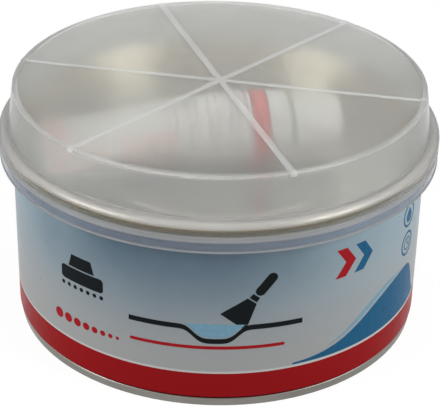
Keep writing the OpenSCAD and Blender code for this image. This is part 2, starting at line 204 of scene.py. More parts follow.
class TubeLook(bpy.types.PropertyGroup):
    white: colour("White", "Moulded parts", (0.95, 0.93, 0.895))
    sleeve: colour("Sleeve", "Laminate of the sleeve", (0.79, 0.765, 0.745))
    band: colour("Band", "Red band of the sleeve", (0.74, 0.05, 0.035))
    blush: colour("Blush", "Pale red band over the tail fold", (0.78, 0.50, 0.47))
    faint: colour("Faint line", "Thin lines round the middle of the sleeve", (0.56, 0.46, 0.46))
    edge: colour("Band edge", "Darker lines along the red band", (0.30, 0.012, 0.014))
    wrinkle: length("Wrinkle", "Depth of the sleeve's dents", 0.00045)
    crimp: length("Crimp", "Depth of the ridges in the tail fold", 0.00022)
    crimp_pitch: length("Crimp pitch", "Spacing of the ridges in the tail fold", 0.0015)
    rib_count: IntProperty(name="Rib count", description="Grip ribs on the cap", min=8, max=120, default=54)
    rib_w: length("Rib width", "Width of a grip rib", 0.00055)
    rib_h: length("Rib height", "How far a grip rib stands out", 0.00028)
    hardener: colour("Hardener", "Red paste in the tube", (0.42, 0.03, 0.025))


class FillerLook(bpy.types.PropertyGroup):
    paste: colour("Paste", "Filler in the tin", (0.36, 0.38, 0.30))
    dark: colour("Paste shade", "Darker streaks in the filler", (0.27, 0.29, 0.22))
    swirl: length("Swirl", "Depth of the furrows in the filler's face", 0.0011)


class StageLook(bpy.types.PropertyGroup):
    eye: point("Eye", "Place of the camera", (0.000004, -0.52767, 0.33516))
    aim: point("Aim", "Point that the camera and the lamps face", (0.000849, 0.0, 0.039674))
    roll: angle("Roll", "Tilt of the camera about its line of sight", 1.171)
    lens: number("Lens", "Focal length on a 36 mm sensor", 128.687, unit="CAMERA")
    side_box: point("Side boxes", "Place of the right softbox; the left mirrors it", (0.62, -0.29, 0.41))
    left: power("Left box", "Power of the left softbox", 2.6)
    right: power("Right box", "Power of the right softbox", 2.5)
    top_box: point("Top box place", "Place of the overhead softbox", (0.15, 0.0, 0.95))
    top: power("Top box", "Power of the overhead softbox", 1.9)
    ambient: number("Ambient", "Light from all round", 0.18, min=0)
    floor: colour("Floor", "Colour of the floor", (0.86, 0.86, 0.86))
    backdrop: share("Backdrop", "How far the floor is drawn as the white backdrop", 0.8)
    glow: number("Glow", "Brightness of that backdrop", 1.13, min=0)


def group(kind, name, text):
    """Property for a group of looks."""
    return PointerProperty(type=kind, name=name, description=text)


class FillerTinLook(bpy.types.PropertyGroup):
    print_look: group(PrintLook, "Print", "Look of the printed wall")
    metal: group(MetalLook, "Metal", "Look of the bottom end, the ring and the lid")
    overcap: group(OvercapLook, "Overcap", "Look of the frosted overcap")
    tube: group(TubeLook, "Tube", "Look of the hardener tube")
    filler: group(FillerLook, "Filler", "Look of the filler")
    stage: group(StageLook, "Stage", "Camera, lamps and floor")


# Nodes of the finishes

def dimmed(rgb, level):
    """A colour at so much of its brightness."""
    return tuple(level * c for c in rgb)


class Nodes:
    """A node tree whose nodes are added by name, with values or links for their inputs."""

    def __init__(self, tree):
        self.tree = tree

    def set(self, node, inputs):
        """Gives a node's inputs their values or links."""
        for key, value in inputs.items():
            socket = node.inputs[key.replace("_", " ") if isinstance(key, str) else key]
            if isinstance(value, bpy.types.NodeSocket):
                self.tree.links.new(value, socket)
            elif hasattr(value, "__len__") and len(value) == 3 and socket.type == "RGBA":
                socket.default_value = (*value, 1)
            else:
                socket.default_value = value

    def add(self, kind, inputs=None, **settings):
        """Adds a node."""
        node = self.tree.nodes.new(kind)
        for key, value in settings.items():
            setattr(node, key, value)
        self.set(node, inputs or {})
        return node

    def place(self):
        """Object coordinates."""
        return self.add("ShaderNodeTexCoord").outputs["Object"]

    def turned(self, location=(0, 0, 0), rotation=(0, 0, 0), scale=(1, 1, 1), kind="TEXTURE"):
        """Object coordinates seen from another place."""
        node = self.add("ShaderNodeMapping", {"Vector": self.place()}, vector_type=kind)
        self.set(node, {"Location": location, "Rotation": rotation, "Scale": scale})
        return node.outputs[0]

    def parts(self, vector):
        """The three parts of a vector."""
        return self.add("ShaderNodeSeparateXYZ", {0: vector}).outputs

    def sum(self, operation, a, b=0.0, c=0.0):
        """One arithmetic step."""
        return self.add("ShaderNodeMath", {0: a, 1: b, 2: c}, operation=operation).outputs[0]

    def near(self, value, middle, reach):
        """One where a value lies within reach of a middle, else nought."""
        apart = self.sum("ABSOLUTE", self.sum("SUBTRACT", value, middle))
        return self.sum("LESS_THAN", apart, reach)

    def spread(self, value, low, high, to_low=0.0, to_high=1.0, smooth=False):
        """Maps a range of a value to another range."""
        node = self.add("ShaderNodeMapRange", interpolation_type="SMOOTHSTEP" if smooth else "LINEAR")
        self.set(node, {0: value, 1: low, 2: high, 3: to_low, 4: to_high})
        return node.outputs[0]

    def noise(self, scale, detail=3.0, rough=0.5, vector=None):
        """Grain at so many bumps in a metre."""
        node = self.add("ShaderNodeTexNoise", {"Scale": scale, "Detail": detail, "Roughness": rough})
        self.tree.links.new(vector or self.place(), node.inputs["Vector"])
        return node.outputs[0]

    def cells(self, scale):
        """Distance from the middle of cells, so many in a metre."""
        return self.add("ShaderNodeTexVoronoi", {"Vector": self.place(), "Scale": scale}).outputs[0]

    def mix(self, factor, a, b):
        """Mixes two colours."""
        node = self.add("ShaderNodeMix", data_type="RGBA")
        self.set(node, {0: factor, 6: a, 7: b})
        return node.outputs[2]

    def blotched(self, rgb, level, scale, detail=3, low=0.35):
        """A colour with soft blotches of another brightness."""
        return self.mix(self.spread(self.noise(scale, detail), low, 0.75), rgb, dimmed(rgb, level))

    def seen_white(self):
        """One where a camera, glossy or see-through ray looks, nought for the other rays."""
        ray = self.add("ShaderNodeLightPath").outputs
        seen = self.sum("MAXIMUM", ray["Is Camera Ray"], ray["Is Glossy Ray"])
        return self.sum("MAXIMUM", seen, ray["Is Transmission Ray"])


class Finish(Nodes):
    """A material on the principled shader."""

    def __init__(self, name, **surface):
        self.material = bpy.data.materials.new(name)
        self.material.use_nodes = True
        super().__init__(self.material.node_tree)
        self.shader = self.tree.nodes["Principled BSDF"]
        self.drive(**surface)

    def polish(self, scale, smooth, dull):
        """Uneven polish between two values of roughness."""
        self.drive(Roughness=self.spread(self.noise(scale), 0.3, 0.7, smooth, dull))

    def bump(self, height, distance, strength=1.0):
        """Relief of the surface, in metres."""
        node = self.add("ShaderNodeBump", {"Strength": strength, "Distance": distance, "Height": height})
        self.drive(Normal=node.outputs[0])

    def drive(self, **inputs):
        """Sets inputs of the surface."""
        self.set(self.shader, inputs)


def lacquered(f):
    """Gives a printed finish the lacquer's uneven polish and its slight orange peel."""
    f.polish(240, 0.27, 0.36)
    f.bump(f.noise(420, 2), 0.00004)
    return f.material


def printed_wall(look, metal):
    """Litho print on the tin's wall: sky fading to haze, pale line, red foot band and bare weld strip. The
    blue is deepest a little left of the front and pales towards the sides, partly print and partly painted
    sheen.
    """
    dust, scorch, fall_off, least_blue = (0.02, 0.03, 0.04), (0.12, 0.12, 0.12), 1.9, 0.15
    f = Finish("printed_wall", Specular_IOR_Level=LACQUER_GLOSS)
    x, y, z = f.parts(f.place())
    height = f.spread(z, look.fade_from, look.fade_to, smooth=True)
    # Partly print, partly painted sheen: the blue is deepest left of the front and pales towards the sides,
    # most on the right.
    aside = f.sum("DIVIDE", f.sum("SUBTRACT", x, look.deep_x_painted_sheen), look.body_r)
    facing = f.sum("POWER", f.sum("SUBTRACT", 1.0, f.sum("MULTIPLY", aside, aside)), fall_off)
    clouds = f.spread(f.noise(34, 4, 0.55), 0.3, 0.72, -0.10, 0.10)
    depth = f.sum("MULTIPLY", height, f.spread(facing, 0.0, 1.0, least_blue, 1.0))
    depth = f.sum("MAXIMUM", f.sum("ADD", depth, f.sum("MULTIPLY", clouds, height)), 0.0)
    wall = f.mix(depth, f.mix(height, look.haze, look.dawn), look.sky)
    wall = f.mix(f.sum("LESS_THAN", z, look.band_top + look.line_w), wall, look.line)
    wall = f.mix(f.sum("LESS_THAN", z, look.band_top), wall, look.foot)
    wall = f.mix(f.spread(f.noise(900, 2), 0.3, 0.8, 0.0, 0.03), wall, dust)
    c, s = math.cos(look.weld_turn), math.sin(look.weld_turn)
    across = f.sum("ADD", f.sum("MULTIPLY", x, c), f.sum("MULTIPLY", y, s))
    ahead = f.sum("SUBTRACT", f.sum("MULTIPLY", x, s), f.sum("MULTIPLY", y, c))
    strip = f.sum("MULTIPLY", f.near(across, 0.0, look.weld_w / 2), f.sum("GREATER_THAN", ahead, 0.0))
    seam = f.near(across, 0.0, look.weld_w / 12)
    bare = f.mix(f.sum("MULTIPLY", seam, 0.6), metal.bare, scorch)
    f.drive(Base_Color=f.mix(strip, wall, bare), Metallic=f.sum("MULTIPLY", strip, 0.9))
    return lacquered(f)


def ink(name, rgb):
    """Printing ink with the lacquer's gloss and a little unevenness."""
    f = Finish(name, Specular_IOR_Level=LACQUER_GLOSS)
    f.drive(Base_Color=f.blotched(rgb, 0.86, 700))
    return lacquered(f)


def tinplate(name, rgb, rough, coat, look=None):
    """Tinplate with fine rolling lines, stains and an uneven polish; a look adds the ring's tones: its deeper
    inner wall as painted shade, its paler rim as a painted highlight, and painted shade where the rim rolls
    under.
    """
    f = Finish(name, Metallic=1.0, Coat_Weight=coat, Coat_Roughness=0.12)
    lines = f.noise(1, 4, 0.6, f.turned(scale=(60, 60, 5200), kind="POINT"))
    stain = f.noise(38, 4, 0.6)
    tone = f.mix(f.spread(stain, 0.35, 0.75), rgb, dimmed(rgb, 0.8))
    tone = f.mix(f.spread(lines, 0.35, 0.75, 0.0, 0.35), tone, dimmed(rgb, 0.6))
    if look:
        x, y, z = f.parts(f.place())
        out = f.sum("SQRT", f.sum("ADD", f.sum("MULTIPLY", x, x), f.sum("MULTIPLY", y, y)))
        # Painted shade inside the wall radius; outside it, the paler rim tone is a painted highlight.
        tone = f.mix(f.spread(out, look.wall_r, look.wall_r + 1.0 * MM), look.wall, tone)
        # Painted shade: below the rim's middle and outside the rim radius, the tone turns to the dull bronze.
        low = f.spread(z, look.rim_mid - 1.0 * MM, look.rim_mid + 0.6 * MM, 1.0, 0.0, smooth=True)
        under = f.sum("MULTIPLY", low, f.sum("GREATER_THAN", out, look.rim_r))
        tone = f.mix(under, tone, look.rim_shade)
    f.drive(Base_Color=tone)
    f.drive(Roughness=f.spread(stain, 0.3, 0.75, rough - 0.04, rough + 0.08))
    f.bump(lines, 0.00003)
    return f.material


def frosted(look, zone):
    """Frosted polypropylene: light passes and spreads; a fine moulded grain, and glancing edges that are
    darker, partly for the longer path through the plastic and partly as painted shade.
    """
    parts = ("tint", "clear", "frost", "edge")
    tint, clear, frost, edge = (getattr(look, f"{zone}_{part}") for part in parts)
    f = Finish(zone, Transmission_Weight=clear, IOR=1.16, Coat_Weight=0.1, Coat_Roughness=0.12)
    tone = f.blotched(tint, 0.94, 55, low=0.3)
    if edge < 1:
        # Painted shade: the tint darkens towards glancing sides, partly for the longer path through the
        # plastic.
        glancing_shade_mask = f.add("ShaderNodeLayerWeight", {"Blend": 0.5}).outputs["Facing"]
        tone = f.mix(f.spread(glancing_shade_mask, 0.38, 0.75), tone, dimmed(tint, edge))
    f.drive(Base_Color=tone)
    f.polish(160, frost - 0.02, frost + 0.02)
    f.bump(f.noise(600, 2), 0.000005)
    return f.material


def sleeve_stops(look):
    """Colours along the tube's sleeve, each from its place in millimetres on."""
    stops = [(TAIL, look.sleeve), (TAIL + 1.1, look.blush), (FOLD + 1.9, look.sleeve)]
    pairs, pair_from, pair_step, pair_gap, faint_w = 4, -22.5, 7.5, 3.0, 0.7
    for i in range(pairs):
        for j in range(2):
            at = pair_from + pair_step * i + pair_gap * j
            stops += [(at, look.faint), (at + faint_w, look.sleeve)]
    thin, thin_w, band, band_to, edge_w = 6.6, 0.5, 9.1, 14.2, 0.6
    return stops + [(thin, look.edge), (thin + thin_w, look.sleeve), (band - edge_w, look.edge),
                    (band, look.band), (band_to, look.edge), (band_to + edge_w, look.sleeve)]


def sleeve_laminate(look):
    """White laminate with a red band at the shoulder, thin lines, a pale red tail and soft creases."""
    soil_tone, field_level, fields_across = (0.42, 0.42, 0.40), 0.2, -11.8 * MM
    f = Finish("sleeve_laminate", Coat_Weight=0.15, Coat_Roughness=0.2)
    along, across, _ = f.parts(f.turned(TUBE_POINT, (0, 0, TUBE_TURN)))
    ramp = f.add("ShaderNodeValToRGB", {0: f.spread(along, TAIL * MM, SHOULDER * MM)})
    ramp.color_ramp.interpolation = "CONSTANT"
    stops = sleeve_stops(look)
    while len(ramp.color_ramp.elements) < len(stops):
        ramp.color_ramp.elements.new(1.0)
    for element, (at, rgb) in zip(ramp.color_ramp.elements, stops):
        element.position = (at - TAIL) / (SHOULDER - TAIL)
        element.color = (*rgb, 1)
    fields = f.sum("MAXIMUM", f.near(along, -30 * MM, 11 * MM), f.near(along, -51 * MM, 7 * MM))
    fields = f.sum("MULTIPLY", fields, f.sum("LESS_THAN", across, fields_across))
    shown = f.mix(f.sum("MULTIPLY", fields, field_level), ramp.outputs[0], look.band)
    soil = f.spread(f.noise(60, 4), 0.45, 0.8, 0.0, 0.14)
    f.drive(Base_Color=f.mix(soil, shown, soil_tone))
    f.polish(180, 0.26, 0.40)
    creases = f.noise(1, 4, 0.6, f.turned(TUBE_POINT, (0, 0, TUBE_TURN), (0.0125, 0.0034, 0.0034)))
    f.bump(creases, 0.0005, 0.5)
    return f.material


def moulded(name, rgb, rough=0.34):
    """Injection-moulded plastic with a fine grain."""
    f = Finish(name)
    f.drive(Base_Color=f.blotched(rgb, 0.92, 120))
    f.polish(300, rough - 0.05, rough + 0.07)
    f.bump(f.noise(1800, 2), 0.00003)
    return f.material


def crinkled_foil():
    """Bright foil with fine creases."""
    f = Finish("crinkled_foil", Metallic=1.0)
    crease = f.cells(900)
    f.drive(Base_Color=f.mix(f.noise(300), (0.8, 0.8, 0.8), (0.66, 0.66, 0.67)))
    f.drive(Roughness=f.spread(crease, 0.0, 0.8, 0.2, 0.36))
    f.bump(crease, 0.0001)
    return f.material


def paste(name, rgb, shade, rough):
    """Thick paste: streaked colour, fine pores and a damp gloss."""
    f = Finish(name, Coat_Weight=0.1, Coat_Roughness=0.3)
    streak = f.noise(1, 4, 0.6, f.turned(scale=(40, 90, 60), kind="POINT"))
    pores = f.cells(1400)
    body = f.mix(f.spread(streak, 0.35, 0.7), rgb, shade)
    f.drive(Base_Color=f.mix(f.spread(pores, 0.0, 0.14, 0.45, 0.0), body, dimmed(shade, 0.4)))
    f.drive(Roughness=f.spread(streak, 0.3, 0.7, rough - 0.08, rough + 0.08))
    f.bump(f.sum("ADD", streak, f.sum("MULTIPLY", pores, 0.3)), 0.0003, 0.6)
    return f.material


def dense_foam():
    """Cream sealing foam with fine cells."""
    f = Finish("dense_foam")
    cells = f.cells(3200)
    f.drive(Base_Color=f.mix(f.spread(cells, 0.0, 0.6), (0.62, 0.60, 0.50), (0.74, 0.72, 0.64)))
    f.drive(Roughness=f.spread(cells, 0.0, 0.7, 0.75, 0.6))
    f.bump(cells, 0.00015)
    return f.material


def rubbery(name, rgb):
    """Matt sealing compound."""
    f = Finish(name)
    f.drive(Base_Color=f.blotched(rgb, 1.5, 260, detail=4, low=0.3))
    f.polish(700, 0.6, 0.78)
    f.bump(f.noise(1100), 0.00008)
    return f.material


# Making of pieces

def add_piece(name, mesh, body, replaced=()):
    """Puts a finished mesh into the scene as a piece that rides on a body."""
    piece = bpy.data.objects.new(name, mesh)
    bpy.context.scene.collection.objects.link(piece)
    for node in replaced:
        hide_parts(node)
    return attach(piece, body)


def finish_node(node, material):
    """Gives a CAD node its finish."""
    frame["nodes"][node].data.materials[0] = material


def made_mesh(name, points, faces, material):
    """Smooth mesh with sharp edges where its faces turn by more than the crease angle."""
    mesh = bpy.data.meshes.new(name)
    mesh.from_pydata([tuple(p) for p in points], [], faces)
    mesh.polygons.foreach_set("use_smooth", [True] * len(mesh.polygons))
    mesh.set_sharp_from_angle(angle=CREASE)
    mesh.materials.append(material)
    mesh.update()
    return mesh


def steps(start, end, count):
    """Evenly spaced values from start to end."""
    return [start + (end - start) * i / count for i in range(count + 1)]


def arc(x, z, r, start, end, count=8):
    """Points on an arc, in degrees."""
    turns = [math.radians(a) for a in steps(start, end, count)]
    return [(x + r * math.cos(a), z + r * math.sin(a)) for a in turns]


def loft(rings):
    """Points and faces of a closed skin over rings of equal count, closed at both ends."""
    count = len(rings[0])
    points = [p for ring in rings for p in ring]
    faces = []
    for j in range(len(rings) - 1):
        for i in range(count):
            k = (i + 1) % count
            faces.append((j * count + i, j * count + k, (j + 1) * count + k, (j + 1) * count + i))
    faces.append(tuple(reversed(range(count))))
    faces.append(tuple((len(rings) - 1) * count + i for i in range(count)))
    return points, faces


def facing_out(mesh):
    """Turns the faces of a closed mesh outwards."""
    work = bmesh.new()
    work.from_mesh(mesh)
    bmesh.ops.recalc_face_normals(work, faces=work.faces)
    work.to_mesh(mesh)
    work.free()
    return mesh


def applied(name, carrier):
    """The mesh that an object's modifier makes, as a mesh of its own; the modifier is then removed."""
    graph = bpy.context.evaluated_depsgraph_get()
    whole = bpy.data.meshes.new_from_object(carrier.evaluated_get(graph))
    carrier.modifiers.clear()
    if not whole.polygons:
        raise RuntimeError(f"{name} came out empty")
    whole.name = name
    return whole


def copies_tree():
    """Geometry nodes that repeat a mesh about the Z axis at an even step."""
    tree = bpy.data.node_groups.new("copies_round_axis", "GeometryNodeTree")
    for name, kind, subtype in (
            ("Geometry", "Geometry", None), ("Count", "Int", None), ("Step", "Float", "ANGLE"),
            ("Join", "Float", "DISTANCE"), ("Material", "Material", None)):
        socket = tree.interface.new_socket(name, in_out="INPUT", socket_type="NodeSocket" + kind)
        if subtype:
            socket.subtype = subtype
    tree.interface.new_socket("Geometry", in_out="OUTPUT", socket_type="NodeSocketGeometry")
    given, result, points, index, turn, turned, placed, real, merged, painted = map(tree.nodes.new, (
        "NodeGroupInput", "NodeGroupOutput", "GeometryNodePoints", "GeometryNodeInputIndex", "ShaderNodeMath",
        "ShaderNodeCombineXYZ", "GeometryNodeInstanceOnPoints", "GeometryNodeRealizeInstances",
        "GeometryNodeMergeByDistance", "GeometryNodeSetMaterial"))
    turn.operation = "MULTIPLY"
    for source, output, target, entry in (
            (given, "Count", points, "Count"), (index, 0, turn, 0), (given, "Step", turn, 1),
            (turn, 0, turned, "Z"), (points, 0, placed, "Points"), (given, "Geometry", placed, "Instance"),
            (turned, 0, placed, "Rotation"), (placed, 0, real, 0), (real, 0, merged, "Geometry"),
            (given, "Join", merged, "Distance"), (merged, 0, painted, "Geometry"),
            (given, "Material", painted, "Material"), (painted, 0, result, 0)):
        tree.links.new(source.outputs[output], target.inputs[entry])
    return tree


def repeated(name, mesh, count, step, material, join=0.0):
    """Mesh of so many copies of a mesh about the Z axis, joined where their edges meet."""
    tree = bpy.data.node_groups.get("copies_round_axis") or copies_tree()
    carrier = bpy.data.objects.new(name + "_one", mesh)
    bpy.context.scene.collection.objects.link(carrier)
    modifier = carrier.modifiers.new("Copies", "NODES")
    modifier.node_group = tree
    sockets = {s.name: s.identifier for s in tree.interface.items_tree if s.in_out == "INPUT"}
    for key, value in (("Count", count), ("Step", step), ("Join", join), ("Material", material)):
        modifier[sockets[key]] = value
    whole = applied(name, carrier)
    bpy.data.objects.remove(carrier)
    bpy.data.meshes.remove(mesh)
    return whole


def united(name, mesh, other):
    """One closed mesh of two that overlap, each part with its own finish."""
    pair = [bpy.data.objects.new(each.name, each) for each in (mesh, other)]
    for part in pair:
        bpy.context.scene.collection.objects.link(part)
    modifier = pair[0].modifiers.new("Join", "BOOLEAN")
    modifier.operation, modifier.solver, modifier.material_mode = "UNION", "EXACT", "TRANSFER"
    modifier.object = pair[1]
    whole = applied(name, pair[0])
    whole.set_sharp_from_angle(angle=CREASE)
    for part in pair:
        bpy.data.objects.remove(part)
    return whole


# Shapes of the print, as outlines in millimetres: round the tin from its front, and up

def disc(u, v, r, count=28):
    """Full circle."""
    return [arc(u, v, r, 0, 360, count)[:-1]]


def hoop(u, v, r, w, count=36):
    """Ring of width w, as quads between two circles."""
    outer, inner = (arc(u, v, q, 0, 360, count) for q in (r, r - w))
    return [[a, b, d, c] for a, b, c, d in zip(outer, outer[1:], inner, inner[1:])]


def bar(u0, v0, u1, v1, w, count=8):
    """Line of width w with round ends."""
    a = math.degrees(math.atan2(v1 - v0, u1 - u0))
    far, near = arc(u1, v1, w / 2, a - 90, a + 90, count), arc(u0, v0, w / 2, a + 90, a + 270, count)
    return [far + near]


def plate(u0, v0, u1, v1, r, count=6):
    """Rectangle with round corners."""
    corners = ((u1 - r, v1 - r, 0), (u0 + r, v1 - r, 90), (u0 + r, v0 + r, 180), (u1 - r, v0 + r, 270))
    return [[dot for u, v, a in corners for dot in arc(u, v, r, a, a + 90, count)]]


def between(low, high, u0, u1, count):
    """Strip between two curves of u, as quads, without the parts where it has no height."""
    us, least = steps(u0, u1, count), 0.02
    return [[(a, low(a)), (b, low(b)), (b, high(b)), (a, high(a))] for a, b in zip(us, us[1:])
            if high(a) - low(a) + high(b) - low(b) > least]


def moved(shapes, u=0.0, v=0.0, scale=1.0, turn=0.0):
    """Shapes scaled, turned by degrees and put at a place."""
    c, s = scale * math.cos(math.radians(turn)), scale * math.sin(math.radians(turn))
    return [[(u + c * x - s * y, v + s * x + c * y) for x, y in shape] for shape in shapes]


def knife():
    """Filling knife with its edge at the origin, standing up."""
    blade = [[(-9, 0), (9, 0), (8.2, 3), (3.2, 17), (-3.2, 17), (-8.2, 3)]]
    collar = [[(-2.6, 17.8), (2.6, 17.8), (2.4, 21), (-2.4, 21)]]
    return blade + collar + plate(-2.9, 21.8, 2.9, 38, r=2.8)


def drop(r=4.0, foot=0.2, tip=10.4, wrap=125):
    """Drop with a round belly that stands just over the origin."""
    side = [(r * math.sin(a), foot + r - r * math.cos(a)) for a in steps(0, math.radians(wrap), 12)]
    return [side + [(0, tip)] + [(-x, y) for x, y in reversed(side[1:])]]


def clock(r=5.6):
    """Clock face at the origin."""
    return hoop(0, 0, r, w=1.1) + bar(0, 0, 0, 3.4, w=1.0) + bar(0, 0, 2.4, -1.4, w=1.0)


def sanding_block():
    """Sanding block over a line of grit."""
    body = plate(-8.5, 2.6, 8.5, 7.4, r=1.2)
    grip = [[(-5.2, 7.9), (5.2, 7.9), (3.9, 12.2), (-3.9, 12.2)]]
    grit = [shape for u in steps(-7.8, 7.8, 6) for shape in disc(u, 0.9, 0.72, 12)]
    return body + grip + grit


def dip(u, deep=5.6, reach=8.5):
    """Face of a dented sheet, level but for one dip."""
    return -deep * math.exp(-(u / reach) ** 4)


def dented_panel(sheet=2.0, half=31):
    """Section of a sheet with a dip in it."""
    return between(lambda u: dip(u) - sheet, dip, -half, half, count=62)


def dent_fill(gap=0.45, crown=0.5, fall=0.35, reach=13):
    """Filler that levels the dip."""
    return between(lambda u: dip(u) + gap, lambda u: crown - fall * abs(u) / reach, -12.4, 11.2, count=40)


def grains(count=8, start=-63.0, v=23.0, step=5.1, closer=0.17, r=2.1, finer=0.2):
    """Row of grains that shrink and draw together."""
    return [shape for i in range(count)
            for shape in disc(start + step * i - closer * i * i, v, r - finer * i, 20)]


def chevron():
    """Arrow head without a stem, that points right."""
    return [[(0, 0), (6.2, 0), (12.2, 8), (6.2, 16), (0, 16), (6, 8)]]


WAVE_FOOT = 15.4


def swell(u, rise=19.5, up_at=58.0, up_l=9.0, down_at=95.0, down_l=2.0):
    """Top of the blue wave: it rises from the foot band and falls off at its end."""
    rising, falling = 1 + math.exp(-(u - up_at) / up_l), 1 + math.exp(-(u - down_at) / down_l)
    return WAVE_FOOT + rise / rising - rise / falling


def crest(gap=1.2, high=3.4, middle=62, reach=20):
    """Light strip over the wave."""
    return between(lambda u: swell(u) + gap,
                   lambda u: swell(u) + high * math.exp(-((u - middle) / reach) ** 2), 30, 97, count=46)


def round_signs(u=86, high=55.5, low=43.5):
    """Two small signs in rings, a drop over a clock."""
    rings = [shape for v in (high, low) for shape in hoop(u, v, 5.0, w=0.9)]
    return rings + moved(drop(), u, high - 3.2, scale=0.6) + moved(clock(), u, low, scale=0.5)


def wrapped(name, shapes, radius, thick, material, cut=2.0, sink=0.1):
    """Thin closed patches that follow the tin's wall, from outlines cut into narrow strips."""
    weld_within, cut_within = 1e-4, 1e-5
    work = bmesh.new()
    for shape in shapes:
        work.faces.new([work.verts.new((u, v, 0)) for u, v in shape])
    bmesh.ops.remove_doubles(work, verts=work.verts, dist=weld_within)
    us = [v.co.x for v in work.verts]
    at = math.ceil(min(us) / cut) * cut
    while at < max(us):
        bmesh.ops.bisect_plane(work, geom=work.verts[:] + work.edges[:] + work.faces[:], dist=cut_within,
                               plane_co=(at, 0, 0), plane_no=(1, 0, 0))
        at += cut
    for face in work.faces:
        if face.normal.z < 0:
            face.normal_flip()
    work.verts.index_update()
    work.normal_update()
    flat = [v.co.copy() for v in work.verts]
    outer = [tuple(v.index for v in face.verts) for face in work.faces]
    rims = [(loop.vert.index, loop.link_loop_next.vert.index) for face in work.faces for loop in face.loops
            if len(loop.edge.link_faces) == 1]
    work.free()
    count = len(flat)
    points = []
    for r in ((radius + thick) / MM, radius / MM - sink):
        for p in flat:
            a = p.x * MM / radius
            points.append(Vector((r * math.sin(a), -r * math.cos(a), p.y)) * MM)
    faces = outer + [tuple(count + i for i in reversed(face)) for face in outer]
    faces += [(a, a + count, b + count, b) for a, b in rims]
    return made_mesh(name, points, faces, material)


# Operators, one for each piece or group of like pieces, and what they alone need

class FILLERTIN_OT_tin_wall(bpy.types.Operator):
    """Prints the tin's wall"""
    bl_idname = "fillertin.tin_wall"
    bl_label = "Tin Wall"

    def execute(self, context):
        look = context.scene.filler_tin
        finish_node("tin_body", printed_wall(look.print_look, look.metal))
        return {"FINISHED"}


class FILLERTIN_OT_tinplate(bpy.types.Operator):
    """Finishes the bottom end, the ring, the lid and their sealing compound"""
    bl_idname = "fillertin.tinplate"
    bl_label = "Tinplate"

    def execute(self, context):
        metal = context.scene.filler_tin.metal
        finish_node("bottom_end", tinplate("bright_tinplate", metal.bare, metal.bare_rough, 0.0))
        ring = tinplate("gold_lacquer_ring", metal.rim, metal.ring_rough, metal.lacquer, metal)
        finish_node("top_ring", ring)
        finish_node("lever_lid", tinplate("gold_lacquer_lid", metal.gold, metal.lid_rough, metal.lacquer))
        compound = rubbery("seam_compound", metal.compound)
        finish_node("bottom_seam_compound", compound)
        finish_node("top_seam_compound", compound)
        return {"FINISHED"}


class FILLERTIN_OT_pictures(bpy.types.Operator):
    """Wraps the printed pictures round the wall, each with a copy towards the weld at the back"""
    bl_idname = "fillertin.pictures"
    bl_label = "Pictures"

    def execute(self, context):
        look = context.scene.filler_tin.print_look
        sheet_v, arrow_v, arrow_size = 34.5, 46.5, 0.72
        work = moved(dented_panel(), v=sheet_v) + moved(knife(), u=6.0, v=35.8, scale=0.62, turn=-38)
        work += moved(sanding_block(), u=-51, v=36.5, scale=1.15)
        rule = bar(-30, 25.2, 24, 25.2, w=1.3)
        wave = between(lambda u: WAVE_FOOT, swell, 28, 106, count=78)
        wave += moved(chevron(), u=52, v=arrow_v, scale=arrow_size) + round_signs()
        dark_ink, blue_ink = ink("dark_ink", look.dark), ink("blue_ink", look.blue)
        mist_ink, red_ink = ink("mist_ink", look.mist), ink("red_ink", look.red)
        for name, shapes, finish, turn in (
                ("work", work, dark_ink, look.work_turn),
                ("work_filler", moved(dent_fill(), v=sheet_v), mist_ink, look.work_turn),
                ("work_grains", grains() + rule, red_ink, look.work_turn),
                ("wave", wave, blue_ink, look.wave_turn),
                ("wave_crest", crest(), mist_ink, look.wave_turn),
                ("wave_chevron", moved(chevron(), u=43.6, v=arrow_v, scale=arrow_size), red_ink,
                 look.wave_turn)):
            one = wrapped(name + "_one", shapes, look.body_r, look.ink_t, finish)
            both = repeated("print_" + name, one, 2, turn, finish)
            add_piece("print_" + name, both, "tin")
        return {"FINISHED"}


class FILLERTIN_OT_step_panel(bpy.types.Operator):
    """Prints the white panel with the four working steps on the tin's right side"""
    bl_idname = "fillertin.step_panel"
    bl_label = "Step Panel"

    def execute(self, context):
        look = context.scene.filler_tin.print_look
        mid, half, foot, top = 134.0, 26, 20, 62
        middle, low, high = (foot + top) / 2, 31.0, 51.5
        margin, thin = 4, 0.45
        panel = plate(mid - half, foot, mid + half, top, r=3)
        spread = moved(knife(), u=mid + 11, v=high - 5.5, scale=0.3, turn=-35)
        spread += bar(mid + 3, high - 6.3, mid + half - margin, high - 6.3, w=1.0)
        wait = moved(clock(), u=mid - 13, v=low)
        sand = moved(sanding_block(), u=mid + 12.5, v=low - 5, scale=0.85)
        rules = bar(mid - half + margin, middle, mid + half - margin, middle, thin)
        rules += bar(mid, foot + margin, mid, top - margin, thin)
        steps_shown = self.mixing(mid - 13.6, high) + spread + wait + sand + rules
        for name, shapes, thick, finish in (
                ("print_panel", panel, look.ink_t, ink("panel_white_ink", look.white)),
                ("print_panel_steps", steps_shown, look.over_ink_t, ink("panel_dark_ink", look.dark))):
            add_piece(name, wrapped(name, shapes, look.body_r, thick, finish), "tin")
        return {"FINISHED"}

    def mixing(self, u, v, arm=1.4, w=0.9):
        """A large and a small dab with a plus between them."""
        plus = bar(u, v - arm, u, v + arm, w) + bar(u - arm, v, u + arm, v, w)
        return disc(u - 4.4, v, r=3.4) + disc(u + 5.6, v, r=1.7) + plus


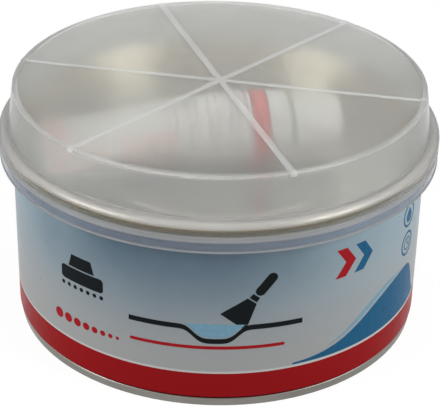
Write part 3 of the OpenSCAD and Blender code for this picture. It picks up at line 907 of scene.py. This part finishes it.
def overcap_outline():
    """Half section of the overcap in millimetres, from the top's middle round the skirt to the inside."""
    hub, halfway, ridge_r, ridge_ease, slope = 0.5, 40, 0.25, 0.2, 0.7
    step_r, step_z = SKIRT_R - STEP_ROUND, STEP_Z - STEP_ROUND
    ridge_at, snap_in, inside = SKIRT_R - ridge_r, SKIRT_IN - SNAP_H, CAP_TOP - CAP_WALL
    ridge_mid = (SNAP_FOOT + SNAP_TOP) / 2
    return [(hub, CAP_TOP), (halfway, CAP_TOP), (RIM_IN, CAP_TOP),
            *arc(BEAD_R, CAP_TOP, RIM_H, 180, 90),
            *arc(CORNER_R, CORNER_Z, RIM_ROUND, 90, 0),
            *arc(WALL_FOOT_R + WALL_FOOT_ROUND, STEP_Z + WALL_FOOT_ROUND, WALL_FOOT_ROUND, 180, 270, 6),
            *arc(step_r, step_z, STEP_ROUND, 90, 0, 12), (SKIRT_R - ridge_ease, SNAP_TOP),
            *arc(ridge_at, ridge_mid + 0.7, ridge_r, 80, -60, 6),
            *arc(ridge_at, ridge_mid - 0.5, ridge_r, 60, -80, 6),
            (ridge_at, SNAP_FOOT), (ridge_at, EDGE_TOP),
            *arc(SKIRT_R - SKIRT_EDGE, CAP_FOOT + SKIRT_EDGE, SKIRT_EDGE, 30, -90, 6),
            (SKIRT_IN, CAP_FOOT), (SKIRT_IN, EDGE_TOP), (SKIRT_IN, SNAP_FOOT),
            (snap_in, SNAP_FOOT + slope), (snap_in, SNAP_TOP - slope), (SKIRT_IN, SNAP_TOP),
            *arc(step_r, step_z, STEP_ROUND - CAP_WALL, 0, 90, 10),
            (WALL_FOOT_R - CAP_WALL, STEP_Z - CAP_WALL),
            *arc(CORNER_R - CAP_WALL, inside - RIM_ROUND, RIM_ROUND, 0, 90, 6),
            (halfway, inside), (hub, inside)]


class FILLERTIN_OT_overcap(bpy.types.Operator):
    """Turns the frosted overcap and lays its bars over the top"""
    bl_idname = "fillertin.overcap"
    bl_label = "Overcap"

    def execute(self, context):
        look = context.scene.filler_tin.overcap
        sides = steps(0, math.tau, 240)[:-1]
        rings = [[Vector((r * math.cos(t), r * math.sin(t), z)) * MM for t in sides]
                 for r, z in overcap_outline()]
        zones = [zone for zone in OVERCAP_ZONES if zone != "frosted_bar"]
        shell = made_mesh("shell_turned", *loft(rings), frosted(look, zones[0]))
        for zone in zones[1:]:
            shell.materials.append(frosted(look, zone))
        # Zones by height: the shoulder's tint is a painted highlight, the neck's is painted shade and the
        # skirt's is a painted reflection.
        levels = ((look.wall_to, "frosted_wall"), (look.wall_from, "frosted_shoulder"),
                  (look.skirt_top, "smooth_neck"), (SNAP_TOP * MM, "milky_ridge"),
                  (SNAP_FOOT * MM, "smooth_skirt"), (EDGE_TOP * MM, "milky_ridge"))
        for face in shell.polygons:
            high = "frosted_rim" if face.center.xy.length > RIM_IN * MM else "frosted_top"
            zone = [high, *(lower for under, lower in levels if face.center.z < under)][-1]
            face.material_index = zones.index(zone)
        whole = united("overcap_shell", facing_out(shell), self.bars(look))
        add_piece("overcap_shell", whole, "overcap", ["overcap"])
        return {"FINISHED"}

    def bars(self, look):
        """Six half bars that meet in a mitred star and bend over the rim."""
        milky = frosted(look, "frosted_bar")
        half, high, skin = look.bar_w / MM / 2, look.bar_h / MM, look.bar_skin / MM
        count, sink, domed, halfway, join_within = 6, 0.3, 0.92, 36, 1e-6
        dome = [(s * half, high * (1 - domed * s * s)) for s in steps(-1, 1, 8)]
        section = [(-half, -sink), *dome, (half, -sink)]
        path = [(halfway, CAP_TOP), (RIM_IN - 0.9, CAP_TOP), (RIM_IN - 0.2, CAP_TOP + 0.15),
                *arc(BEAD_R, CAP_TOP, RIM_H, 150, 90, 4), *arc(CORNER_R, CORNER_Z, RIM_ROUND, 90, 0, 6),
                (RIM_R + 0.14, CORNER_Z - 0.9)]
        mitre = math.tan(math.radians(90) - math.pi / count)
        rings = [[Vector((mitre * abs(side), side, CAP_TOP + lift)) * MM for side, lift in section]]
        for i, (x, z) in enumerate(path):
            (ax, az), (bx, bz) = path[max(i - 1, 0)], path[min(i + 1, len(path) - 1)]
            out = Vector((az - bz, 0, bx - ax)).normalized()
            proud = max(high + CAP_TOP - z, skin) / high if x < BEAD_R else skin / high
            rings.append([(Vector((x, side, z)) + out * min(lift, proud * lift)) * MM
                          for side, lift in section])
        points, faces = loft(rings)
        # The inner end stays open for the next bar, but for a corner under the star's middle
        del faces[-2]
        faces.append((len(points), len(section) - 1, 0))
        points.append(Vector((0, 0, CAP_TOP - sink)) * MM)
        one = made_mesh("bar_one", points, faces, milky)
        star = repeated("bars", one, count, math.tau / count, milky, join_within)
        star.transform(Matrix.Rotation(look.bar_turn, 4, "Z"))
        return facing_out(star)


def sleeve_ring(s, inset, look, sides=72, ease=0.0):
    """Ring of the tube's sleeve at s along its axis, with its creases and the tail's crimp."""
    flat = max(0.0, min(1.0, (ROUND - s) / (ROUND - FOLD)))
    half_h = FOLD_HALF + (SLEEVE_R - FOLD_HALF) * (1 - flat ** SLEEVE_POWER)
    half_w = math.sqrt(2 * SLEEVE_R ** 2 - half_h ** 2)
    if s < FOLD and not inset:
        half_h -= look.crimp / MM * (0.5 + 0.5 * math.cos(math.tau * (s - FOLD) * MM / look.crimp_pitch))
    dent = 4 * flat * (1 - flat) * look.wrinkle / MM
    ring = []
    for t in steps(0, math.tau, sides)[:-1]:
        # Two waves that wind round the sleeve give the dents
        fold = 0.5 + 0.25 * math.sin(3 * t + 0.21 * s) + 0.25 * math.sin(5 * t - 0.33 * s + 1.3)
        draw = inset + ease + dent * fold
        across, up = (half_w - draw) * math.cos(t), (half_h - draw) * math.sin(t) - TAIL_SAG * flat ** 2
        ring.append(TUBE_FRAME @ (Vector((s, across, up)) * MM))
    return ring


def round_ring(s, r, sides=72):
    """Round ring about the tube's axis."""
    return [TUBE_FRAME @ (Vector((s, r * math.cos(t), r * math.sin(t))) * MM)
            for t in steps(0, math.tau, sides)[:-1]]


class FILLERTIN_OT_tube(bpy.types.Operator):
    """Makes the hardener tube's sleeve and paste, and finishes its head and foil"""
    bl_idname = "fillertin.tube"
    bl_label = "Hardener Tube"

    def execute(self, context):
        look = context.scene.filler_tin.tube
        mouth_l, mouth_ease = 0.3, 0.12
        along = steps(TAIL, FOLD, 24) + steps(FOLD, SHOULDER - mouth_l, 70)[1:]
        outside = [sleeve_ring(s, 0, look) for s in along]
        outside.append(sleeve_ring(SHOULDER, 0, look, ease=mouth_ease))
        cavity = [sleeve_ring(s, SLEEVE_WALL, look) for s in steps(SHOULDER, FOLD + SEAL_L, 50)]
        mesh = made_mesh("tube_sleeve_skin", *loft(outside + cavity), sleeve_laminate(look))
        add_piece("tube_sleeve_skin", facing_out(mesh), "tube", ["tube_sleeve"])
        mesh = made_mesh("hardener_core", *loft(self.core(look)),
                         paste("hardener_red", look.hardener, dimmed(look.hardener, 0.7), rough=0.34))
        add_piece("hardener_core", facing_out(mesh), "tube", ["hardener_paste"])
        finish_node("tube_head", moulded("white_head", look.white))
        finish_node("tube_foil_seal", crinkled_foil())
        return {"FINISHED"}

    def core(self, look):
        """Rings of the paste, which fills the sleeve, the head and the spout."""
        head_r = SLEEVE_R - SLEEVE_WALL - HEAD_GAP - HEAD_WALL - PASTE_GAP
        spout_r = SPOUT_BORE - PASTE_GAP
        head_from, head_to, spout_from = (at - PASTE_GAP for at in (
            SHOULDER - HEAD_SKIRT, SHOULDER - HEAD_WALL, CONE - HEAD_WALL))
        inset, along = SLEEVE_WALL + PASTE_GAP, steps(FOLD + 2 * SEAL_L, head_from, 50)
        core = [sleeve_ring(s, inset, look) for s in along]
        return core + [round_ring(s, r) for s, r in ((head_from, head_r), (head_to, head_r),
                                                     (spout_from, spout_r), (SPOUT_END, spout_r))]


class FILLERTIN_OT_screw_cap(bpy.types.Operator):
    """Finishes the screw cap and its liner, and adds the grip ribs"""
    bl_idname = "fillertin.screw_cap"
    bl_label = "Screw Cap"

    def execute(self, context):
        look = context.scene.filler_tin.tube
        white = moulded("white_cap", look.white)
        finish_node("screw_cap", white)
        finish_node("cap_liner", dense_foam())
        half, crest_share, sink, least = look.rib_w / MM / 2, 0.55, 0.15, 0.01
        root, crown = SCREW_CAP_R - sink, SCREW_CAP_R + look.rib_h / MM
        rings = []
        for s, out in ((SCREW_CAP_FROM + 1.6, root + least), (SCREW_CAP_FROM + 2.1, crown),
                       (SCREW_CAP_TO - 1.9, crown), (SCREW_CAP_TO - 1.2, root + least)):
            section = ((root, -half), (out, -half * crest_share), (out, half * crest_share), (root, half))
            rings.append([Vector((r, side, s)) * MM for r, side in section])
        one = facing_out(made_mesh("rib_one", *loft(rings), white))
        ribs = repeated("screw_cap_ribs", one, look.rib_count, math.tau / look.rib_count, white)
        ribs.transform(TUBE_FRAME @ Matrix.Rotation(math.pi / 2, 4, "Y"))
        add_piece("screw_cap_ribs", ribs, "tube_cap")
        return {"FINISHED"}


class FILLERTIN_OT_filler(bpy.types.Operator):
    """Makes the filler with the furrows of the filling machine"""
    bl_idname = "fillertin.filler"
    bl_label = "Filler"

    def execute(self, context):
        look = context.scene.filler_tin.filler
        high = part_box("filler_paste")[1]
        top, wide = high.z / MM, high.x / MM
        hub, floor_z, floor_r, bend_z, halfway, edge = 0.4, 3.7, 75.2, 5.4, 30, 0.5
        turns = steps(0, math.tau, 144)[:-1]

        def furrow(r, t):
            """Depth of the spiral furrow, which fades at the middle and at the wall."""
            fade = min(1.0, (wide - r) / 8, r / 6)
            wave = 0.5 + 0.5 * math.sin(r * 0.62 - 2 * t) * (0.75 + 0.25 * math.sin(3 * t + 0.11 * r))
            return fade * wave * look.swirl / MM

        def ring(r, z, furrowed=False):
            """Ring of the filler's skin."""
            return [Vector((r * math.cos(t), r * math.sin(t), z - (furrow(r, t) if furrowed else 0.0))) * MM
                    for t in turns]

        rings = [ring(r, floor_z) for r in (hub, 30, 60, floor_r)]
        rings += [ring(wide, z) for z in (bend_z, halfway, top - edge)] + [ring(wide - edge, top)]
        rings += [ring(r, top, furrowed=True) for r in steps(wide - 3 * edge, hub, 60)]
        mesh = made_mesh("filler_bulk", *loft(rings), paste("filler_grey", look.paste, look.dark, rough=0.42))
        add_piece("filler_bulk", facing_out(mesh), "tin", ["filler_paste"])
        return {"FINISHED"}


def softbox(name, place, aim, size, watts):
    """Square area lamp that faces the tin."""
    lamp = bpy.data.lights.new(name, "AREA")
    lamp.shape, lamp.size, lamp.energy = "SQUARE", size, watts
    box = bpy.data.objects.new(name, lamp)
    bpy.context.scene.collection.objects.link(box)
    facing = (aim - place).to_track_quat("-Z", "Y").to_matrix().to_4x4()
    box.matrix_world = Matrix.Translation(place) @ facing


class FILLERTIN_OT_stage(bpy.types.Operator):
    """Sets the floor, the white backdrop, the softboxes and the camera"""
    bl_idname = "fillertin.stage"
    bl_label = "Stage"

    def execute(self, context):
        scene = context.scene
        look = scene.filler_tin.stage
        scene.view_settings.view_transform = "Standard"
        self.world(scene, look)
        self.floor(scene, look)
        right, aim = Vector(look.side_box), Vector(look.aim)
        left = Vector((-right.x, right.y, right.z))
        side_size, top_size = 0.4, 0.9
        softbox("left_softbox", left, aim, side_size, look.left)
        softbox("right_softbox", right, aim, side_size, look.right)
        softbox("top_softbox", Vector(look.top_box), aim, top_size, look.top)
        self.camera(scene, look)
        return {"FINISHED"}

    def world(self, scene, look):
        """White to the camera, dimmer as a light."""
        world = bpy.data.worlds.new("studio_white")
        scene.world = world
        world.use_nodes = True
        nodes = Nodes(world.node_tree)
        level = nodes.spread(nodes.seen_white(), 0.0, 1.0, look.ambient, 1.0)
        nodes.set(nodes.tree.nodes["Background"], {"Color": (1, 1, 1), "Strength": level})

    def floor(self, scene, look):
        """Floor that is drawn nearly as white as the backdrop but takes the tin's shadow."""
        half = 4.0
        corners = [(-half, -half, 0), (half, -half, 0), (half, half, 0), (-half, half, 0)]
        mesh = bpy.data.meshes.new("floor")
        mesh.from_pydata(corners, [], [(0, 1, 2, 3)])
        floor = bpy.data.objects.new("floor", mesh)
        scene.collection.objects.link(floor)
        f = Finish("studio_floor", Base_Color=look.floor, Roughness=0.9, Specular_IOR_Level=0.1)
        glow = f.add("ShaderNodeEmission", {"Color": (1, 1, 1), "Strength": look.glow})
        shown = f.sum("MULTIPLY", f.seen_white(), look.backdrop)
        both = f.add("ShaderNodeMixShader", {0: shown, 1: f.shader.outputs[0], 2: glow.outputs[0]})
        f.set(f.tree.nodes["Material Output"], {"Surface": both.outputs[0]})
        mesh.materials.append(f.material)

    def camera(self, scene, look):
        """Camera of the photo."""
        eye, aim = Vector(look.eye), Vector(look.aim)
        ahead = (aim - eye).normalized()
        right = ahead.cross(Vector((0, 0, 1))).normalized()
        up = right.cross(ahead)
        c, s = math.cos(look.roll), math.sin(look.roll)
        turn = Matrix((c * right + s * up, c * up - s * right, -ahead)).transposed()
        data = bpy.data.cameras.new("camera")
        data.sensor_width, data.lens = 36.0, look.lens
        data.clip_start, data.clip_end = 0.01, 50.0
        camera = bpy.data.objects.new("camera", data)
        scene.collection.objects.link(camera)
        camera.matrix_world = Matrix.Translation(eye) @ turn.to_4x4()
        scene.camera = camera


OPERATORS = (FILLERTIN_OT_tin_wall, FILLERTIN_OT_tinplate, FILLERTIN_OT_pictures, FILLERTIN_OT_step_panel,
             FILLERTIN_OT_overcap, FILLERTIN_OT_tube, FILLERTIN_OT_screw_cap, FILLERTIN_OT_filler,
             FILLERTIN_OT_stage)


class FILLERTIN_PT_dresser(bpy.types.Panel):
    """Lists the looks and the steps that dress the tin"""
    bl_idname = "FILLERTIN_PT_dresser"
    bl_label = "Filler Tin"
    bl_space_type = "VIEW_3D"
    bl_region_type = "UI"
    bl_category = "Filler Tin"

    def draw(self, context):
        look = context.scene.filler_tin
        for group in look.__annotations__:
            part = getattr(look, group)
            box = self.layout.box()
            for name in part.__annotations__:
                box.prop(part, name)
        for operator in OPERATORS:
            self.layout.operator(operator.bl_idname)


CLASSES = (PrintLook, MetalLook, OvercapLook, TubeLook, FillerLook, StageLook, FillerTinLook, *OPERATORS,
           FILLERTIN_PT_dresser)


def register():
    for cls in CLASSES:
        bpy.utils.register_class(cls)
    bpy.types.Scene.filler_tin = group(FillerTinLook, "Filler tin", "Looks of the tin's parts")


def unregister():
    del bpy.types.Scene.filler_tin
    for cls in reversed(CLASSES):
        bpy.utils.unregister_class(cls)


def main():
    register()
    for operator in OPERATORS:
        group, name = operator.bl_idname.split(".")
        getattr(getattr(bpy.ops, group), name)()


if __name__ == "__main__":
    main()
